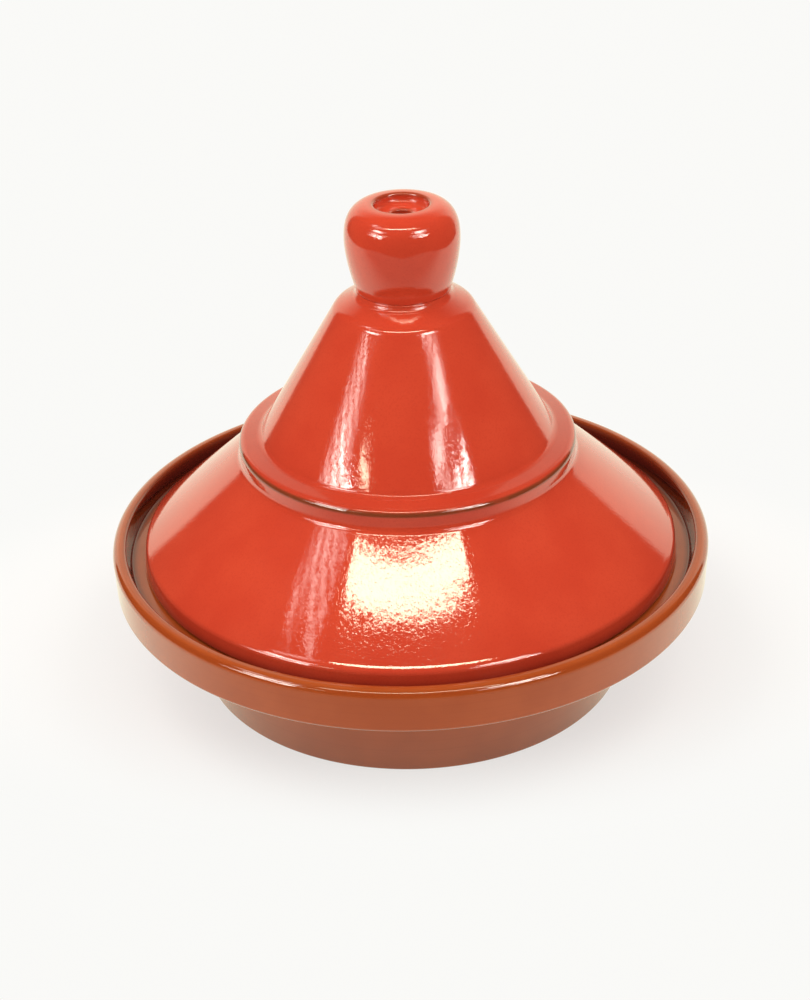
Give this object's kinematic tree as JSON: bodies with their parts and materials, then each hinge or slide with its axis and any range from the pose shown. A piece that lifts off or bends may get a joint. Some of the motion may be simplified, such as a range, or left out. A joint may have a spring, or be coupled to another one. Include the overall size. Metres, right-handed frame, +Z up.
{
  "type": "tagine",
  "caption": "Round earthenware cooking dish with a banded rim and a sunk seat, closed by a tall stepped conical lid that lifts off by a vented, cup-topped knob.",
  "frame": {"origin": "middle of the dish's base, on the surface that it stands on", "axes": "+Z up along the turned axis of the dish and the lid, +X to the right of the picture, -Y towards its camera"},
  "size_m": [0.2814, 0.2814, 0.2305],
  "materials": {
    "brown_glaze": "clear glaze over brown earthenware, glossy",
    "red_glaze": "opaque red glaze over earthenware, high gloss, thin and brown on the edges"
  },
  "bodies": {
    "dish": {"dish": "brown_glaze"},
    "lid": {"lid": "red_glaze", "knob": "red_glaze"}
  },
  "joints": [
    {"name": "lid_lift", "type": "slide", "parent": "dish", "child": "lid", "axis": [0, 0, 1], "range_m": [0, 0.15]}
  ]
}
